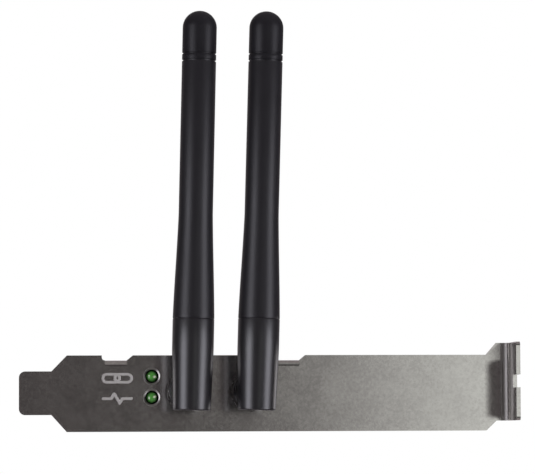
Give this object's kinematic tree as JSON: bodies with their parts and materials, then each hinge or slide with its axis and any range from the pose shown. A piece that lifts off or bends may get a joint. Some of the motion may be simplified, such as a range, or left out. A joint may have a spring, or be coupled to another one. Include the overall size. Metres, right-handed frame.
{
  "type": "wifi card",
  "caption": "Expansion-slot wireless network card: circuit board on a folded steel bracket, with indicator lamps and whip antennas that swivel and tilt on screw-on bases.",
  "frame": {"origin": "on the inner face of the screw tab, in the middle of its width and in line with its screw slot, 4 mm in front of the strip's outer face", "axes": "X along the strip towards the screw tab, Y into the computer, Z from the board's parts side to its solder side, which is up in a tower computer"},
  "size_m": [0.12, 0.1109, 0.0996],
  "materials": {
    "bracket_steel": "satin plated sheet steel",
    "plated_steel": "bright plated",
    "board": "green solder mask",
    "gold_plate": "gold plated brass",
    "bare_brass": "plain brass",
    "black_plastic": "satin black",
    "lamp_green": "tinted clear epoxy",
    "insulator": "white fluoropolymer",
    "chip_black": "moulded epoxy",
    "ceramic": "fired ceramic",
    "cable_jacket": "black jacket"
  },
  "bodies": {
    "card": {"bracket": "bracket_steel", "bracket_screws": "plated_steel", "circuit_board": "board", "edge_contacts": "gold_plate", "lamp_holder": "black_plastic", "upper_lamp": "lamp_green", "lower_lamp": "lamp_green", "lamp_leads": "plated_steel", "left_jack_body": "gold_plate", "right_jack_body": "gold_plate", "left_jack_insulator": "insulator", "right_jack_insulator": "insulator", "left_jack_pin": "gold_plate", "right_jack_pin": "gold_plate", "jack_washers": "plated_steel", "jack_nuts": "plated_steel", "shield_frame": "plated_steel", "shield_cover": "plated_steel", "radio_chip": "chip_black", "amplifier_chips": "chip_black", "crystal": "plated_steel", "memory_chip": "chip_black", "regulator": "chip_black", "power_inductor": "chip_black", "bulk_capacitors": "ceramic", "ceramic_capacitors": "ceramic", "resistors": "chip_black", "left_plug_body": "gold_plate", "right_plug_body": "gold_plate", "left_plug_insulator": "insulator", "right_plug_insulator": "insulator", "left_plug_contact": "gold_plate", "right_plug_contact": "gold_plate", "left_feed_lead": "cable_jacket", "right_feed_lead": "cable_jacket"},
    "left_collar": {"left_collar": "black_plastic"},
    "right_collar": {"right_collar": "black_plastic"},
    "left_base": {"left_knuckle": "black_plastic"},
    "right_base": {"right_knuckle": "black_plastic"},
    "left_whip": {"left_hinge_housing": "black_plastic", "left_hinge_pins": "plated_steel", "left_whip_sleeve": "black_plastic", "left_tip_cap": "black_plastic", "left_coax": "cable_jacket", "left_dipole_tube": "bare_brass", "left_radiator": "bare_brass"},
    "right_whip": {"right_hinge_housing": "black_plastic", "right_hinge_pins": "plated_steel", "right_whip_sleeve": "black_plastic", "right_tip_cap": "black_plastic", "right_coax": "cable_jacket", "right_dipole_tube": "bare_brass", "right_radiator": "bare_brass"}
  },
  "joints": [
    {"name": "left_collar_spin", "type": "hinge", "parent": "card", "child": "left_collar", "pos_m": [-0.07872, 0, -0.00215], "axis": [0, 1, 0], "continuous": true},
    {"name": "right_collar_spin", "type": "hinge", "parent": "card", "child": "right_collar", "pos_m": [-0.0633, 0, -0.00215], "axis": [0, 1, 0], "continuous": true},
    {"name": "left_swivel", "type": "hinge", "parent": "card", "child": "left_base", "pos_m": [-0.07872, 0, -0.00215], "axis": [0, -1, 0], "range_deg": [0, 180]},
    {"name": "right_swivel", "type": "hinge", "parent": "card", "child": "right_base", "pos_m": [-0.0633, 0, -0.00215], "axis": [0, 1, 0], "range_deg": [0, 180]},
    {"name": "left_tilt", "type": "hinge", "parent": "left_base", "child": "left_whip", "pos_m": [-0.07872, -0.016, -0.00215], "axis": [0.9997, 0, -0.0244], "range_deg": [0, 90]},
    {"name": "right_tilt", "type": "hinge", "parent": "right_base", "child": "right_whip", "pos_m": [-0.0633, -0.016, -0.00215], "axis": [0.9996, 0, -0.0297], "range_deg": [0, 90]}
  ]
}
